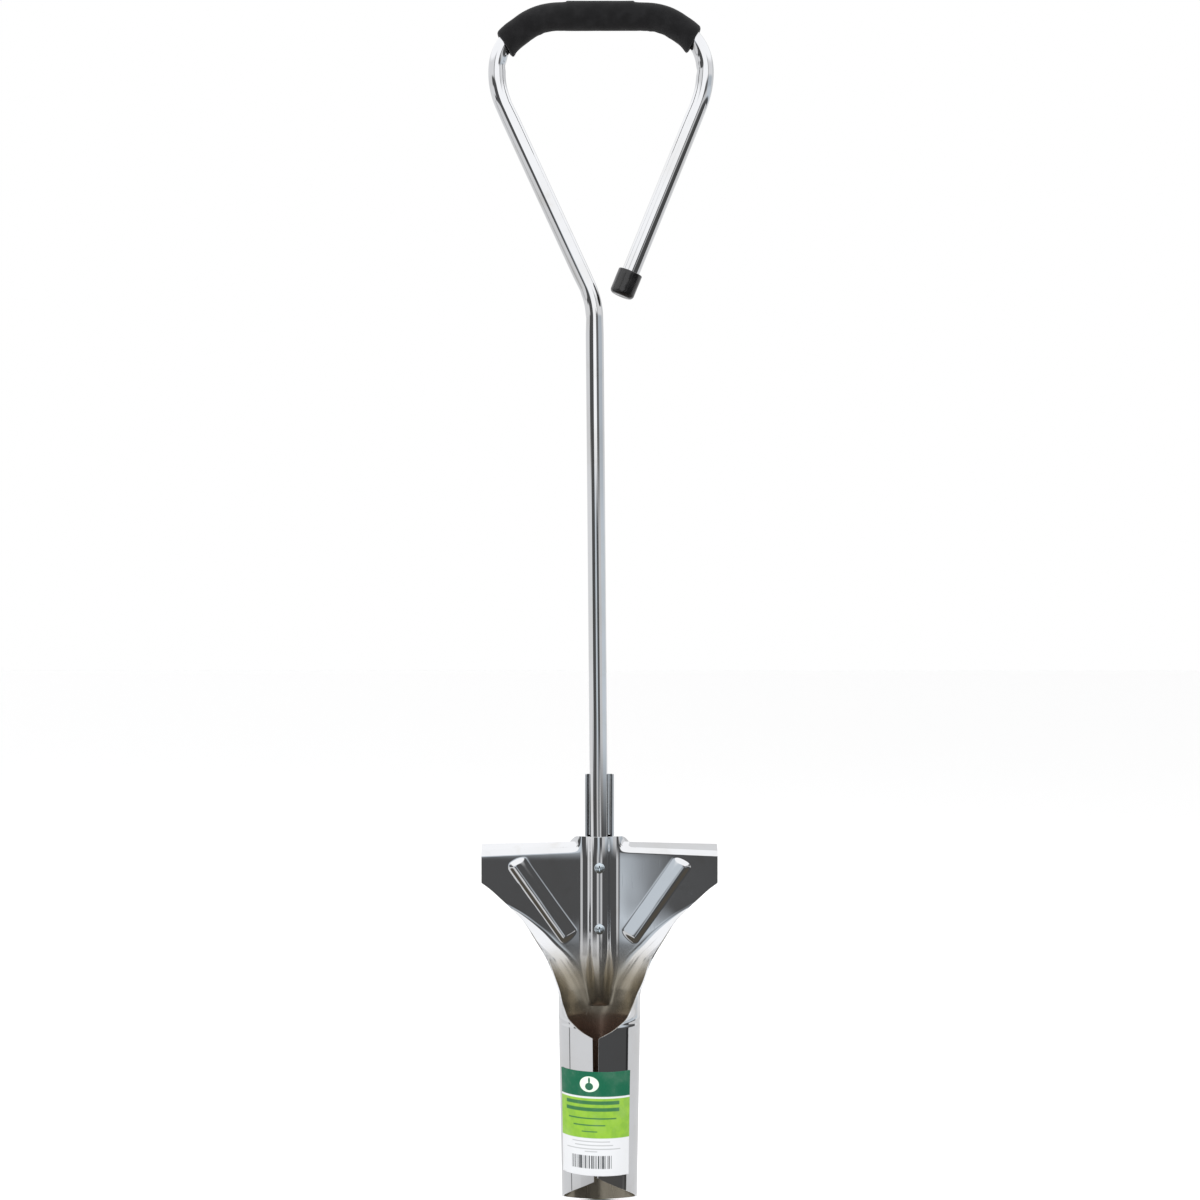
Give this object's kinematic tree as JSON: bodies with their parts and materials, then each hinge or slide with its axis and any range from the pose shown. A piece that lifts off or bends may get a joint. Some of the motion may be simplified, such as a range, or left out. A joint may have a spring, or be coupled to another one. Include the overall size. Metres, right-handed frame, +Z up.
{
  "type": "bulb planter",
  "caption": "Long-handled bulb planter: bent chromed tube handle with a foam grip, screwed to a pressed blade with foot treads, a funnel and an open soil tube.",
  "frame": {"origin": "on the soil tube's axis, in the plane of the tube's lowest rim", "axes": "+Z up along the handle, -Y towards the front (the soil tube's seam and the ridge's crown), +X to the right of someone facing the front, on the side of the handle's capped free end"},
  "size_m": [0.1906, 0.0793, 0.9665],
  "materials": {
    "chrome_plate": "bright chrome plate on steel, with a light edge where the sheet was sheared",
    "zinc_plate": "bright zinc plate, slightly blue",
    "foam": "matte black closed-cell foam with a fine skin",
    "vinyl": "glossy black dipped vinyl",
    "label_paper": null
  },
  "bodies": {
    "root": {"handle_tube": "chrome_plate", "foam_grip": "foam", "tube_end_cap": "vinyl", "blade": "chrome_plate", "rear_channel": "chrome_plate", "upper_screw": "zinc_plate", "lower_screw": "zinc_plate", "upper_lock_washer": "zinc_plate", "lower_lock_washer": "zinc_plate", "upper_nut": "zinc_plate", "lower_nut": "zinc_plate", "label": "label_paper"}
  },
  "joints": []
}
